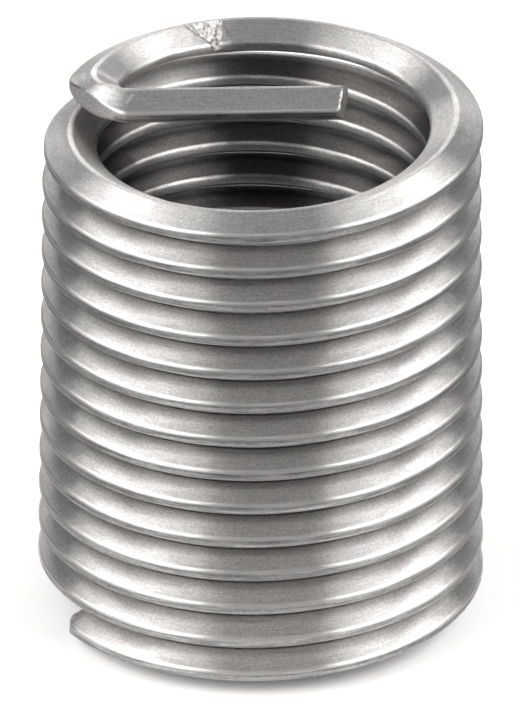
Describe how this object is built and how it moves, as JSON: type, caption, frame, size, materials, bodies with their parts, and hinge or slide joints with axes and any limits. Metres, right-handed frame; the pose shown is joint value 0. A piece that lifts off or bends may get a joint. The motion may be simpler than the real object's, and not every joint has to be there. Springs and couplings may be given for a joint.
{
  "type": "threaded insert",
  "caption": "Coiled wire thread insert: thread-shaped steel wire wound into a close right-hand coil, with a driving tang bent across one end and a nick to snap it off.",
  "frame": {"origin": "on the coil's axis, level with the lowest point of the cut end", "axes": "+Z along the coil's axis towards the tang, +X along the tang towards its free end"},
  "size_m": [0.0148, 0.0148, 0.0187],
  "materials": {
    "drawn_steel_wire": "satin stainless wire, drawn and rolled to section"
  },
  "bodies": {
    "root": {"wire_insert": "drawn_steel_wire"}
  },
  "joints": []
}
